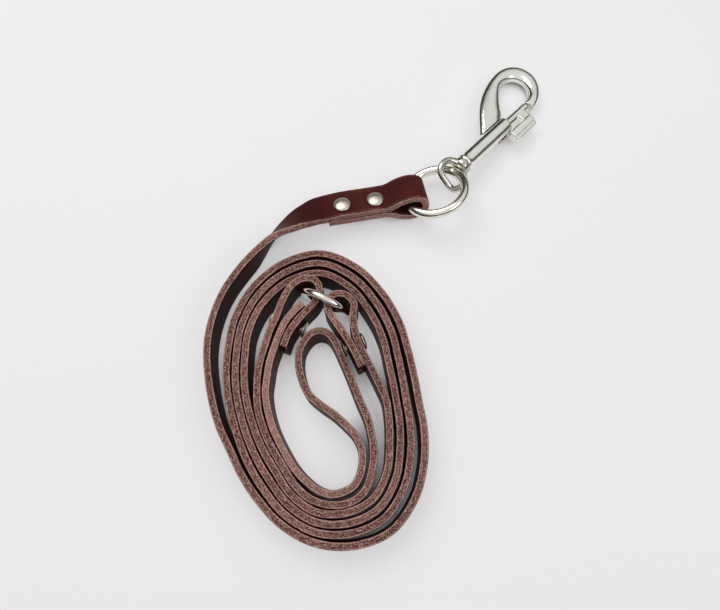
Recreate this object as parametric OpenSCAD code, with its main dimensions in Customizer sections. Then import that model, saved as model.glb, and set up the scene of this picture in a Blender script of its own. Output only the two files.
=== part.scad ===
// Training leash: a leather strap wound in an oval coil on its cut edge, with a hand loop inside the
// coil, a small ring between the two, and a swivel bolt snap on a big ring at the free end.
// The row frame has +Z up, +Y along the longest side and its origin under the middle of the object.

/* [Strap] */
// Width of the strap, which is its height where it stands on edge
strap_w = 16; // [15:0.5:16.5]
// Thickness of the leather
strap_t = 3.6; // [3:0.1:3.7]

/* [Coil] */
// Middle of the oval coil, left to right
coil_x = -35; // [-36:0.5:-34]
// Middle of the oval coil, front to back
coil_y = -64; // [-65:0.5:-63]

/* [Rivets] */
// Radius of a rivet's cap
cap_r = 4.6; // [3.5:0.1:5]
// Height of a rivet's cap at its crown
cap_h = 1.7; // [1.2:0.1:2]
// Radius of a rivet's post
post_r = 1.6; // [1.2:0.1:2]

/* [Rings] */
// Mean radius of the big ring
big_ring_r = 15.4; // [15:0.1:15.8]
// Thickness of the big ring's wire
big_wire = 4.8; // [4.2:0.1:4.8]
// Mean radius of the small ring
small_ring_r = 11.7; // [11.5:0.1:11.8]
// Thickness of the small ring's wire
small_wire = 3.6; // [3:0.1:3.6]

/* [Snap] */
// Outer radius of the snap's barrel
barrel_r = 4.9; // [4.8:0.1:5]
// Length of the barrel
barrel_l = 37; // [36:0.5:38]
// Thickness of the hook
hook_t = 6; // [5:0.1:6.4]
// Radius of the sliding bolt's rod
rod_r = 2.6; // [2.4:0.1:2.8]
// Travel of the bolt
bolt_travel = 8; // [6:0.5:8]
// Half the width of the swivel eye, to the middle of its wire
eye_r = 7.4; // [7.3:0.1:7.6]
// Thickness of the swivel eye's wire
eye_wire = 3.2; // [3:0.1:3.6]

/* [Hidden] */
$fn = 48;
leather = "#5a2a27";
nickel = "#d6d4cb";
up = [0, 0, 1];
run_gap = 0.08; // radial play of a turning or sliding fit
seat_gap = 0.3; // play between pieces that only lie close together

// ---- points and curves ----
function unit(v) = v / norm(v);
// A smooth curve through the points p, with n steps between neighbours
function spline_at(a, b, c, d, t) =
    0.5 * (2 * b + (c - a) * t + (2 * a - 5 * b + 4 * c - d) * t * t + (3 * b - a - 3 * c + d) * t * t * t);
function smooth(p, n) =
    let (q = concat([2 * p[0] - p[1]], p, [2 * p[len(p) - 1] - p[len(p) - 2]]))
    concat(
        [for (i = [1 : len(q) - 3], k = [0 : n - 1]) spline_at(q[i - 1], q[i], q[i + 1], q[i + 2], k / n)],
        [p[len(p) - 1]]
    );
function place3(o, x, y, z, p) = o + x * p[0] + y * p[1] + z * p[2];
// Brings the drawing's origin under the middle of the object
row_shift = [1.9, -0.55, 0];
module in_row() {
    translate(row_shift) children();
}
module place(o, x, y, z) {
    multmatrix([
        [x[0], y[0], z[0], o[0]],
        [x[1], y[1], z[1], o[1]],
        [x[2], y[2], z[2], o[2]],
        [0, 0, 0, 1]
    ]) children();
}

// ---- the snap end of the strap: where it lies and how far it leans ----
end_heading = 10;
end_lean = 12;
ring_lean = 17;
ring_pitch = -11;
fold_axis = [10.6, 44.3, 9.9];
end_u = [cos(end_heading), sin(end_heading), 0];
end_v = [-sin(end_heading), cos(end_heading), 0];
function lean_n(a) = end_v * sin(a) + up * cos(a);
function lean_w(a) = up * sin(a) - end_v * cos(a);
end_n = lean_n(end_lean);
end_w = lean_w(end_lean);

// ---- the strap's route, from its tail at the snap end to its tail at the small ring ----
// Fold round the big ring: distance along the strap, height over the fold's middle
fold_points = [
    [-44, -1.9], [-36, -1.9], [-27, -1.9], [-18, -1.9], [-12, -2.3], [-6, -5.2], [0, -6.4], [4.9, -4.9],
    [6.8, 0], [4.9, 4.9], [0, 6.4], [-6, 5.2], [-12, 2.3], [-18, 1.9], [-27, 1.9], [-36, 1.9]
];
// Stretch that turns from lying flat to standing on edge: x, y, z and lean in degrees
twist_points = [
    [-33, 36.4, 11.6, 12], [-38, 35.2, 11.4, 16], [-42.5, 33.4, 11, 23], [-47, 31.4, 10.5, 32],
    [-51.8, 28.6, 9.8, 43], [-56.6, 25.2, 9.2, 56], [-61.4, 20.6, 8.6, 69], [-65.8, 14.8, 8.2, 80],
    [-70, 8.8, 8, 88], [-74.4, 2.8, 8, 90], [-78.6, -3.6, 8, 90], [-82.2, -10.4, 8, 90],
    [-85, -17.8, 8, 90], [-87, -25.8, 8, 90], [-88, -34, 8, 90], [-87.9, -43, 8, 90], [-86.5, -53, 8, 90]
];
// The coil, every 30 degrees from its right-hand side: reach of the outer turn from the middle,
// spacing of the turns, and extra slack of the first turn
turn_reach = [50, 52, 64.5, 77.5, 69, 54, 49, 45.8, 52, 63.5, 68.5, 59];
turn_pitch = [4.6, 5.2, 5.8, 5.2, 4.9, 4.7, 4.1, 4.1, 4.7, 4.25, 4.8, 5.4];
turn_slack = [2.4, 0.8, 0, 0, 0, 0, 3.6, 1.2, 0.2, 0.2, 2, 2.6];
coil_start = 180;
coil_end = 1440;
coil_step = 15;
// Stretch that rises to the small ring, its fold and its tail: x, y and lift off the table
ring_end_points = [
    [-6.4, -57, 0], [-9.2, -51, 0.2], [-12.4, -45, 1], [-15.2, -39.4, 2], [-17.4, -33.8, 3.5],
    [-18.6, -28.6, 5], [-18.8, -23.6, 5.6], [-18.4, -19.2, 5.6], [-20.4, -15.6, 5.6], [-24, -13.7, 5.6],
    [-28, -14, 5.6], [-30.7, -17.4, 5.6], [-30.6, -21.6, 5.6], [-27.8, -26.8, 5.6], [-24.1, -32.1, 5.6],
    [-20.5, -37.7, 5.6], [-17.4, -43.5, 5.6], [-14.8, -49.2, 5.6]
];
// The hand loop's strap: its tail end at the small ring, down the left, round the bottom, up the
// middle, over a small bend, round the bottom again outside itself, and up to its fold round the ring
handle_points = [
    [-43, -18.5, 5.6], [-46.5, -22, 5.6], [-50.5, -27, 5], [-53.5, -33, 3.5], [-56, -39.5, 2],
    [-58, -46, 1], [-59, -53, 0.2], [-59.5, -60, 0], [-58, -68.5, 0], [-55, -77.5, 0], [-50, -87, 0],
    [-45.5, -94, 0], [-40.5, -99.5, 0], [-34.5, -104, 0], [-28.5, -106, 0], [-23, -105, 0],
    [-18, -102, 0], [-15, -95.5, 0], [-14.5, -88, 0], [-16.5, -82, 0], [-20, -77.5, 0], [-27, -71, 0],
    [-34, -66, 0], [-39.5, -61, 0], [-43, -53.5, 0], [-44.5, -46, 0], [-44, -39.5, 0], [-41.5, -34.5, 0],
    [-38.5, -31.5, 0], [-34.5, -30.5, 0], [-30.5, -32, 0], [-27.5, -36, 0], [-24.5, -42.5, 0],
    [-20.5, -52, 0], [-16, -63.5, 0], [-12, -73, 0], [-10, -82, 0], [-9.5, -90, 0], [-11, -98.5, 0],
    [-13.5, -104.5, 0], [-18, -108.5, 0], [-24.5, -110.5, 0], [-32, -110, 0], [-39, -107, 0],
    [-45, -101.5, 0], [-50, -94.2, 0], [-55.5, -85.5, 0], [-59.5, -77.5, 0], [-62.5, -68.5, 0],
    [-63.5, -59.5, 0], [-63.5, -52, 0], [-62.5, -45, 0.2], [-60.5, -38, 1], [-58, -31, 3], [-55, -24.5, 5],
    [-53, -18.5, 5.6], [-50, -12, 5.6], [-47.2, -8.4, 5.6], [-43.5, -6.05, 5.6], [-39.2, -5.9, 5.6],
    [-36, -8.2, 5.6], [-35, -12.4, 5.6], [-37.2, -17.9, 5.6], [-41.5, -22.8, 5.6], [-45.7, -28, 5.6],
    [-49.2, -33.7, 5.6], [-51.2, -39.7, 5.6]
];

function around(table, a) =
    let (h = (a % 360) / 30, k = floor(h))
    spline_at(table[(k + 11) % 12], table[k % 12], table[(k + 1) % 12], table[(k + 2) % 12], h - k);
function coil_point(a) =
    let (turns = (a - coil_start) / 360)
    let (r = around(turn_reach, a) - around(turn_pitch, a) * turns - around(turn_slack, a) * min(turns, 1))
    [coil_x + r * cos(a), coil_y + r * sin(a)];

// A route station is [x, y, z, wx, wy, wz]: the strap's middle and the direction of its width
function station(p, w) = [p[0], p[1], p[2], w[0], w[1], w[2]];
function fold_station(p) = station(fold_axis + end_u * p[0] + end_n * p[1], end_w);
function twist_station(i) =
    let (p = twist_points[i])
    let (next = i < len(twist_points) - 1 ? twist_points[i + 1] : coil_point(coil_start))
    let (before = i > 0 ? twist_points[i - 1] : 2 * [p[0], p[1]] - [next[0], next[1]])
    let (run = unit([next[0] - before[0], next[1] - before[1]]))
    station(p, [-run[1], run[0], 0] * cos(p[3]) + up * sin(p[3]));
function edge_station(x, y, lift) = station([x, y, strap_w / 2 + lift], up);
main_route = smooth(
    concat(
        [for (p = fold_points) fold_station(p)],
        [for (i = [0 : len(twist_points) - 1]) twist_station(i)],
        [for (a = [coil_start : coil_step : coil_end]) let (p = coil_point(a)) edge_station(p[0], p[1], 0)],
        [for (p = ring_end_points) edge_station(p[0], p[1], p[2])]
    ),
    2
);
handle_route = smooth([for (p = handle_points) edge_station(p[0], p[1], p[2])], 3);

function mid(s) = [s[0], s[1], s[2]];
function wide(s) = unit([s[3], s[4], s[5]]);
function tangent(r, i) = unit(mid(r[min(i + 1, len(r) - 1)]) - mid(r[max(i - 1, 0)]));

// A flat strap of rectangular section swept along a route
module strap_along(route) {
    n = len(route);
    corners = [[-0.5, -0.5], [0.5, -0.5], [0.5, 0.5], [-0.5, 0.5]];
    points = [
        for (i = [0 : n - 1], c = corners)
        let (w = wide(route[i]))
        let (thick = unit(cross(tangent(route, i), w)))
        mid(route[i]) + w * strap_w * c[0] + thick * strap_t * c[1]
    ];
    sides = [
        for (i = [0 : n - 2], k = [0 : 3])
        let (a = 4 * i + k, b = 4 * i + (k + 1) % 4)
        each [[a, b, b + 4], [a, b + 4, a + 4]]
    ];
    ends = [[0, 2, 1], [0, 3, 2], [4 * n - 4, 4 * n - 3, 4 * n - 2], [4 * n - 4, 4 * n - 2, 4 * n - 1]];
    polyhedron(points, [for (f = concat(sides, ends)) [f[0], f[2], f[1]]], convexity = 20);
}

// ---- rivets ----
snap_rivet_runs = [-36, -18.8];
snap_rivet_side = 1.5;
snap_rivet_grip = 2 * strap_t + 0.6;
strap_rivet = [-18.8, -36.92, 13.2];
strap_rivet_heading = 202;
strap_rivet_grip = 9.1;
handle_rivet = [-49.97, -26.53, 13.2];
handle_rivet_heading = -20;
handle_rivet_grip = 15.6;

module rivet_frame(o, heading) {
    place(o, up, [-sin(heading), cos(heading), 0], [-cos(heading), -sin(heading), 0]) children();
}
module snap_rivet_frame(run) {
    place(fold_axis + end_u * run + end_w * snap_rivet_side, end_u, -end_w, end_n) children();
}
module dome() {
    rim_h = 0.5;
    crown = cap_h - rim_h;
    ball = (cap_r * cap_r + crown * crown) / (2 * crown);
    cylinder(r = cap_r, h = rim_h);
    intersection() {
        translate([0, 0, rim_h + crown - ball]) sphere(r = ball, $fn = 96);
        translate([0, 0, rim_h - 0.01]) cylinder(r = cap_r, h = crown + 1);
    }
}
module rivet_hole(grip) {
    translate([0, 0, -grip / 2 - 2]) cylinder(r = post_r, h = grip + 4);
}
module rivet_post(grip) {
    rotate([180, 0, 0]) translate([0, 0, grip / 2]) dome();
    translate([0, 0, -grip / 2]) cylinder(r = post_r, h = grip);
}
// The post of a rivet that goes through the side of a fold has a low flat head, inside the coil
module low_post(grip) {
    translate([0, 0, -grip / 2 - 0.8]) cylinder(r = cap_r - 0.4, h = 0.8);
    translate([0, 0, -grip / 2 - 0.1]) cylinder(r = post_r, h = grip + 0.1);
}
module rivet_cap(grip) {
    translate([0, 0, grip / 2]) dome();
}

module main_strap() {
    color(leather) in_row() difference() {
        strap_along(main_route);
        for (run = snap_rivet_runs) snap_rivet_frame(run) rivet_hole(snap_rivet_grip);
        rivet_frame(strap_rivet, strap_rivet_heading) rivet_hole(strap_rivet_grip);
    }
}
module handle_strap() {
    color(leather) in_row() difference() {
        strap_along(handle_route);
        rivet_frame(handle_rivet, handle_rivet_heading) rivet_hole(handle_rivet_grip);
    }
}
module snap_end_rivet_posts() {
    color(nickel) in_row() for (run = snap_rivet_runs) snap_rivet_frame(run) rivet_post(snap_rivet_grip);
}
module snap_end_rivet_caps() {
    color(nickel) in_row() for (run = snap_rivet_runs) snap_rivet_frame(run) rivet_cap(snap_rivet_grip);
}
module strap_rivet_post() {
    color(nickel) in_row() rivet_frame(strap_rivet, strap_rivet_heading) low_post(strap_rivet_grip);
}
module strap_rivet_cap() {
    color(nickel) in_row() rivet_frame(strap_rivet, strap_rivet_heading) rivet_cap(strap_rivet_grip);
}
module handle_rivet_post() {
    color(nickel) in_row() rivet_frame(handle_rivet, handle_rivet_heading) low_post(handle_rivet_grip);
}
module handle_rivet_cap() {
    color(nickel) in_row() rivet_frame(handle_rivet, handle_rivet_heading) rivet_cap(handle_rivet_grip);
}

// ---- rings ----
module wire_ring(r, wire) {
    rotate_extrude($fn = 96) translate([r, 0]) circle(d = wire);
}
// The small ring stands on the table, leaning a little, with a fold on each side
small_ring_mid = [-32.9, -15.3, small_ring_r + small_wire / 2];
small_ring_heading = -26.6;
small_ring_tilt = 8;
small_d = [cos(small_ring_heading), sin(small_ring_heading), 0];
small_n = [-sin(small_ring_heading), cos(small_ring_heading), 0];
module small_ring() {
    color(nickel) in_row()
        place(
            small_ring_mid, small_d, up * cos(small_ring_tilt) - small_n * sin(small_ring_tilt),
            -small_n * cos(small_ring_tilt) - up * sin(small_ring_tilt)
        )
        wire_ring(small_ring_r, small_wire);
}
// The big ring's wire crosses the fold on a chord, so the ring hangs from the middle of that bow
ring_bow = big_ring_r - sqrt(big_ring_r * big_ring_r - strap_w * strap_w / 4);
ring_x = end_u * cos(ring_pitch) - lean_n(ring_lean) * sin(ring_pitch);
ring_y = -lean_w(ring_lean);
ring_z = lean_n(ring_lean) * cos(ring_pitch) + end_u * sin(ring_pitch);
big_ring_mid = fold_axis - end_u - 1.2 * end_v + ring_x * (big_ring_r - ring_bow / 2);
module big_ring() {
    color(nickel) in_row() place(big_ring_mid, ring_x, ring_y, ring_z) wire_ring(big_ring_r, big_wire);
}

// ---- swivel bolt snap, in its own frame: x along the barrel, y to the hook's side, z up ----
eye_angle = 35.5;
snap_heading = 46.8;
snap_pitch = 5.8;
eye_roll = 29;
eye_back = 7.1;
snap_x = [cos(snap_heading) * cos(snap_pitch), sin(snap_heading) * cos(snap_pitch), -sin(snap_pitch)];
snap_y = [-sin(snap_heading), cos(snap_heading), 0];
snap_z = cross(snap_x, snap_y);
ring_grip = big_ring_mid + big_ring_r * (ring_x * cos(eye_angle) + ring_y * sin(eye_angle));
snap_origin = ring_grip + snap_x * eye_back;
module in_snap() {
    place(snap_origin, snap_x, snap_y, snap_z) children();
}
module rod(r, from, to) {
    translate([from, 0, 0]) rotate([0, 90, 0]) cylinder(r = r, h = to - from);
}
stem_r = 2.2;
collar_l = 5;
collar_r = 3.9;
retainer_l = 1.6;
chamber_r = 3.7;
chamber_end = 30;
piston_l = 3;
piston_x = 20;
tip_x = 55.6;
rib_t = 3;
rib_from = 33;
rib_to = 52;
tab_from = 33;
tab_to = 51;
tab_reach = 11.6;
tab_w = 5.4;

// The eye is a stirrup of wire: a straight bar, two round corners, two arms and two shoulders
eye_end = 14.2;
eye_corner = 3.4;
eye_shoulder = 6.2;
module eye_rod(from, to) {
    run = to - from;
    translate(from) rotate([0, 0, atan2(run[1], run[0])]) rotate([0, 90, 0])
        cylinder(d = eye_wire, h = norm(run));
}
module eye_side(side) {
    corner = [eye_corner - eye_end, side * eye_r, 0];
    shoulder = [-eye_shoulder, side * eye_r, 0];
    translate([eye_corner - eye_end, side * (eye_r - eye_corner), 0])
        rotate([0, 0, side > 0 ? 90 : 180])
        rotate_extrude(angle = 90, $fn = 96) translate([eye_corner, 0]) circle(d = eye_wire);
    eye_rod(corner, shoulder);
    translate(shoulder) sphere(d = eye_wire);
    eye_rod(shoulder, [-1.6, side * 2, 0]);
}
module swivel_eye() {
    color(nickel) in_row() in_snap() union() {
        rotate([eye_roll, 0, 0]) {
            translate([-eye_end, eye_r - eye_corner, 0])
                rotate([90, 0, 0]) cylinder(d = eye_wire, h = 2 * (eye_r - eye_corner));
            eye_side(-1);
            eye_side(1);
        }
        rod(3.2, -2.6, -0.5);
        rod(4.3, -0.9, -run_gap);
        rod(stem_r, -0.5, collar_l + retainer_l + 0.2);
    }
}
module swivel_retainer() {
    color(nickel) in_row() in_snap() difference() {
        rod(3.4, collar_l + 0.15, collar_l + 0.15 + retainer_l);
        rod(stem_r, collar_l, collar_l + retainer_l + 1);
    }
}
module swivel_collar() {
    color(nickel) in_row() in_snap() difference() {
        rod(collar_r, 0, collar_l);
        rod(stem_r + run_gap, -1, collar_l + 1);
    }
}

// The hook: its back swells out of the barrel, goes round and comes back to meet the bolt
hook_outer = [
    [19, 4.4], [22.8, 7.4], [27.4, 11.6], [33, 16.2], [39, 20], [45.8, 23.2], [52.6, 25.4], [59.4, 26.4],
    [65.4, 26], [70.4, 24], [74, 20.6], [76, 16.4], [76.2, 11.8], [74.8, 7], [71.8, 2.6], [67.4, -1],
    [62, -3.6], [56, -4.6]
];
hook_inner = [
    [56, 2.2], [60.2, 2.9], [64, 5], [66.6, 8.4], [67.4, 12], [66.2, 15.6], [63.2, 18], [59.4, 18.8],
    [55.2, 18], [50.8, 15.4], [46.8, 11.8], [43.2, 8], [40.4, 5.2], [36.5, 4.2]
];
module hook() {
    translate([0, 0, -hook_t / 2]) linear_extrude(hook_t)
        polygon(concat(smooth(hook_outer, 3), smooth(hook_inner, 3), [[30, 2], [19, 2]]));
}
module snap_body() {
    color(nickel) in_row() in_snap() difference() {
        union() {
            rod(barrel_r, 0, barrel_l);
            hook();
        }
        rod(collar_r, -1, collar_l);
        rod(chamber_r, collar_l - 0.01, chamber_end);
        rod(rod_r + run_gap, chamber_end - 1, tip_x + 0.4);
        translate([rib_from - bolt_travel - 0.5, -barrel_r - 1, -rib_t / 2 - 0.15])
            cube([barrel_l + 1.5 - rib_from + bolt_travel, barrel_r + 1, rib_t + 0.3]);
    }
}
module snap_bolt() {
    color(nickel) in_row() in_snap() union() {
        rod(rod_r, piston_x, tip_x);
        rod(chamber_r - run_gap, piston_x, piston_x + piston_l);
        translate([rib_from, -barrel_r, -rib_t / 2]) cube([rib_to - rib_from, barrel_r, rib_t]);
        translate([tab_from, -tab_reach, -tab_w / 2])
            cube([tab_to - tab_from, tab_reach - barrel_r - seat_gap, tab_w]);
        translate([tab_from + 1, -barrel_r - 1, -rib_t / 2]) cube([tab_to - tab_from - 2, 2, rib_t]);
    }
}
// The spring behind the bolt, drawn at its pressed length: separate touching turns of wire
spring_wire = 0.7;
spring_r = 2.9;
spring_from = collar_l + 0.15 + retainer_l + 0.6;
module bolt_spring() {
    color(nickel) in_row() in_snap() for (k = [0 : 4])
        translate([spring_from + spring_wire / 2 + k * 0.75, 0, 0]) rotate([0, 90, 0])
        wire_ring(spring_r, spring_wire);
}

main_strap();
handle_strap();
small_ring();
big_ring();
snap_end_rivet_posts();
snap_end_rivet_caps();
strap_rivet_post();
strap_rivet_cap();
handle_rivet_post();
handle_rivet_cap();
swivel_eye();
swivel_retainer();
swivel_collar();
snap_body();
snap_bolt();
bolt_spring();
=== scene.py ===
import math

import bmesh
import bpy
import numpy as np
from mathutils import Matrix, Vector, noise


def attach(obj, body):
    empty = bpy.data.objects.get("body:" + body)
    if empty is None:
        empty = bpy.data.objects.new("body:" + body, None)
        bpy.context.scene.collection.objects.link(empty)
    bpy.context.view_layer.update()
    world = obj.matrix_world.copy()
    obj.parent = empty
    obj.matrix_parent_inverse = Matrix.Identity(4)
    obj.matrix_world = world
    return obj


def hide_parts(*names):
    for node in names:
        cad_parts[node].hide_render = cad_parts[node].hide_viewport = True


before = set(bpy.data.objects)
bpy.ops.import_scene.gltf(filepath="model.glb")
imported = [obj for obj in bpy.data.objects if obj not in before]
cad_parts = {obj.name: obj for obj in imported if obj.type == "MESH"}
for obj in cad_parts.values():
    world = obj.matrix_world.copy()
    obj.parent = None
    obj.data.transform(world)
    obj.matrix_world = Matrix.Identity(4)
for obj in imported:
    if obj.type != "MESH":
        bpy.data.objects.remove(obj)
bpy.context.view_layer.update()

# Shapes are worked out in millimetres in the coil's own frame, then moved by SHIFT into the record's frame
MM = 0.001
SHIFT = np.array([1.9, -0.55, 0.0])
STRAP_W = 16.0
STRAP_T = 3.6


def rad(a):
    return math.radians(a)


def unit(v):
    v = np.array(v, float)
    return v / np.linalg.norm(v)


# ---------------------------------------------------------------- routes, in millimetres
UP = np.array([0.0, 0.0, 1.0])
END_HEADING = 10  # degrees from +X, the way the snap's end of the strap points
END_LEAN = 12  # degrees that the snap's end leans over from lying flat
END_U = np.array([math.cos(rad(END_HEADING)), math.sin(rad(END_HEADING)), 0])
END_V = np.array([-math.sin(rad(END_HEADING)), math.cos(rad(END_HEADING)), 0])


def lean_n(a):
    """The face's direction of a strap on END_U that leans by a degrees."""
    return END_V * math.sin(rad(a)) + UP * math.cos(rad(a))


def lean_w(a):
    """The width's direction of the same strap."""
    return UP * math.sin(rad(a)) - END_V * math.cos(rad(a))


FOLD_AXIS = np.array([10.6, 44.3, 9.9])
END_N = lean_n(END_LEAN)
END_W = lean_w(END_LEAN)
# The fold round the big ring, from the short end's tip: along END_U and along END_N
FOLD = [
    (-44, -1.9), (-36, -1.9), (-27, -1.9), (-18, -1.9), (-12, -2.3), (-6, -5.2), (0, -6.4), (4.9, -4.9),
    (6.8, 0), (4.9, 4.9), (0, 6.4), (-6, 5.2), (-12, 2.3), (-18, 1.9), (-27, 1.9), (-36, 1.9),
]
# From the fold to the coil: x, y, z of the strap's middle, and degrees that its width stands up
TWIST = [
    (-33, 36.4, 11.6, 12), (-38, 35.2, 11.4, 16), (-42.5, 33.4, 11, 23), (-47, 31.4, 10.5, 32),
    (-51.8, 28.6, 9.8, 43), (-56.6, 25.2, 9.2, 56), (-61.4, 20.6, 8.6, 69), (-65.8, 14.8, 8.2, 80),
    (-70, 8.8, 8, 88), (-74.4, 2.8, 8, 90), (-78.6, -3.6, 8, 90), (-82.2, -10.4, 8, 90),
    (-85, -17.8, 8, 90), (-87, -25.8, 8, 90), (-88, -34, 8, 90), (-87.9, -43, 8, 90), (-86.5, -53, 8, 90),
]
# The coil, every 30 degrees: the outer turn's reach, what each turn takes off it, and the loose room
# that is used up over the first turn
COIL_MID = (-35, -64)
COIL_START, COIL_END, COIL_STEP = 180, 1440, 15
REACH = [50, 52, 64.5, 77.5, 69, 54, 49, 45.8, 52, 63.5, 68.5, 59]
PITCH = [4.6, 5.2, 5.8, 5.2, 4.9, 4.7, 4.1, 4.1, 4.7, 4.25, 4.8, 5.4]
SLACK = [2.4, 0.8, 0, 0, 0, 0, 3.6, 1.2, 0.2, 0.2, 2, 2.6]
# From the coil to the small ring and back: x, y and how far the strap is lifted off the floor
RING_END = [
    (-6.4, -57, 0), (-9.2, -51, 0.2), (-12.4, -45, 1), (-15.2, -39.4, 2), (-17.4, -33.8, 3.5),
    (-18.6, -28.6, 5), (-18.8, -23.6, 5.6), (-18.4, -19.2, 5.6), (-20.4, -15.6, 5.6), (-24, -13.7, 5.6),
    (-28, -14, 5.6), (-30.7, -17.4, 5.6), (-30.6, -21.6, 5.6), (-27.8, -26.8, 5.6), (-24.1, -32.1, 5.6),
    (-20.5, -37.7, 5.6), (-17.4, -43.5, 5.6), (-14.8, -49.2, 5.6),
]
# The hand loop's strap, both ends folded through the small ring: x, y and lift
HANDLE = [
    (-43, -18.5, 5.6), (-46.5, -22, 5.6), (-50.5, -27, 5), (-53.5, -33, 3.5), (-56, -39.5, 2),
    (-58, -46, 1), (-59, -53, 0.2), (-59.5, -60, 0), (-58, -68.5, 0), (-55, -77.5, 0), (-50, -87, 0),
    (-45.5, -94, 0), (-40.5, -99.5, 0), (-34.5, -104, 0), (-28.5, -106, 0), (-23, -105, 0),
    (-18, -102, 0), (-15, -95.5, 0), (-14.5, -88, 0), (-16.5, -82, 0), (-20, -77.5, 0), (-27, -71, 0),
    (-34, -66, 0), (-39.5, -61, 0), (-43, -53.5, 0), (-44.5, -46, 0), (-44, -39.5, 0),
    (-41.5, -34.5, 0), (-38.5, -31.5, 0), (-34.5, -30.5, 0), (-30.5, -32, 0), (-27.5, -36, 0),
    (-24.5, -42.5, 0), (-20.5, -52, 0), (-16, -63.5, 0), (-12, -73, 0), (-10, -82, 0), (-9.5, -90, 0),
    (-11, -98.5, 0), (-13.5, -104.5, 0), (-18, -108.5, 0), (-24.5, -110.5, 0), (-32, -110, 0),
    (-39, -107, 0), (-45, -101.5, 0), (-50, -94.2, 0), (-55.5, -85.5, 0), (-59.5, -77.5, 0),
    (-62.5, -68.5, 0), (-63.5, -59.5, 0), (-63.5, -52, 0), (-62.5, -45, 0.2), (-60.5, -38, 1),
    (-58, -31, 3), (-55, -24.5, 5), (-53, -18.5, 5.6), (-50, -12, 5.6), (-47.2, -8.4, 5.6),
    (-43.5, -6.05, 5.6), (-39.2, -5.9, 5.6), (-36, -8.2, 5.6), (-35, -12.4, 5.6), (-37.2, -17.9, 5.6),
    (-41.5, -22.8, 5.6), (-45.7, -28, 5.6), (-49.2, -33.7, 5.6), (-51.2, -39.7, 5.6),
]


def spline_at(a, b, c, d, t):
    """A point between b and c on the smooth curve that a and d shape."""
    return 0.5 * (
        2 * b + (c - a) * t + (2 * a - 5 * b + 4 * c - d) * t * t + (3 * b - a - 3 * c + d) * t * t * t
    )


def smooth(points, n):
    """A smooth path through the points, with n steps from each to the next."""
    p = np.array(points, float)
    q = np.vstack([2 * p[0] - p[1], p, 2 * p[-1] - p[-2]])
    out = []
    for i in range(1, len(q) - 2):
        for k in range(n):
            out.append(spline_at(q[i - 1], q[i], q[i + 1], q[i + 2], k / n))
    out.append(p[-1])
    return np.array(out)


def around(table, a):
    """A value at a degrees from a table that has one every 30 degrees."""
    h = (a % 360) / 30
    k = int(h)
    return spline_at(table[(k - 1) % 12], table[k % 12], table[(k + 1) % 12], table[(k + 2) % 12], h - k)


def coil_point(a):
    """The strap's middle on the coil, a degrees on from +X."""
    turns = (a - COIL_START) / 360
    r = around(REACH, a) - around(PITCH, a) * turns - around(SLACK, a) * min(turns, 1)
    return (COIL_MID[0] + r * math.cos(rad(a)), COIL_MID[1] + r * math.sin(rad(a)))


def main_route(steps):
    """Rows of the long strap's middle and its width's direction."""
    rows = []
    for a, b in FOLD:
        rows.append(np.r_[FOLD_AXIS + END_U * a + END_N * b, END_W])
    for i, (x, y, z, lean) in enumerate(TWIST):
        after = np.array(TWIST[i + 1][:2] if i + 1 < len(TWIST) else coil_point(COIL_START))
        before = np.array(TWIST[i - 1][:2]) if i else 2 * np.array([x, y]) - after
        run = unit(after - before)
        flat = np.array([-run[1], run[0], 0])
        rows.append(np.r_[x, y, z, flat * math.cos(rad(lean)) + UP * math.sin(rad(lean))])
    for a in range(COIL_START, COIL_END + 1, COIL_STEP):
        x, y = coil_point(a)
        rows.append(np.r_[x, y, STRAP_W / 2, UP])
    for x, y, lift in RING_END:
        rows.append(np.r_[x, y, STRAP_W / 2 + lift, UP])
    return smooth(rows, steps)


def handle_route(steps):
    """The same rows for the hand loop's strap, which stands upright all the way."""
    return smooth([np.r_[x, y, STRAP_W / 2 + lift, UP] for x, y, lift in HANDLE], steps)


# ---------------------------------------------------------------- mesh helpers
def add_object(name, verts, faces, body, material, attrs=None):
    """A smooth-shaded piece that rides on a body. attrs are numbers per point for its material."""
    me = bpy.data.meshes.new(name)
    me.from_pydata([tuple(v) for v in verts], [], [tuple(f) for f in faces])
    me.update()
    for key, values in (attrs or {}).items():
        layer = me.attributes.new(key, "FLOAT", "POINT")
        layer.data.foreach_set("value", np.asarray(values, np.float32))
    ob = bpy.data.objects.new(name, me)
    bpy.context.scene.collection.objects.link(ob)
    me.polygons.foreach_set("use_smooth", [True] * len(me.polygons))
    me.materials.append(material)
    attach(ob, body)
    return ob


def sharpen(ob, angle=40):
    """Normals face out, and edges sharper than angle stay crisp."""
    bm = bmesh.new()
    bm.from_mesh(ob.data)
    bmesh.ops.recalc_face_normals(bm, faces=bm.faces)
    for e in bm.edges:
        e.smooth = not (len(e.link_faces) == 2 and e.calc_face_angle(0) > rad(angle))
    bm.to_mesh(ob.data)
    bm.free()


def to_row(points):
    """Millimetres in the coil's frame to metres in the record's."""
    return (np.asarray(points, float) + SHIFT) * MM


def put(verts, o, x, y, z):
    """Places a shape's own axes along x, y and z, with its origin at o."""
    verts = np.asarray(verts)
    return np.asarray(o) + verts[:, :1] * x + verts[:, 1:2] * y + verts[:, 2:3] * z


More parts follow.
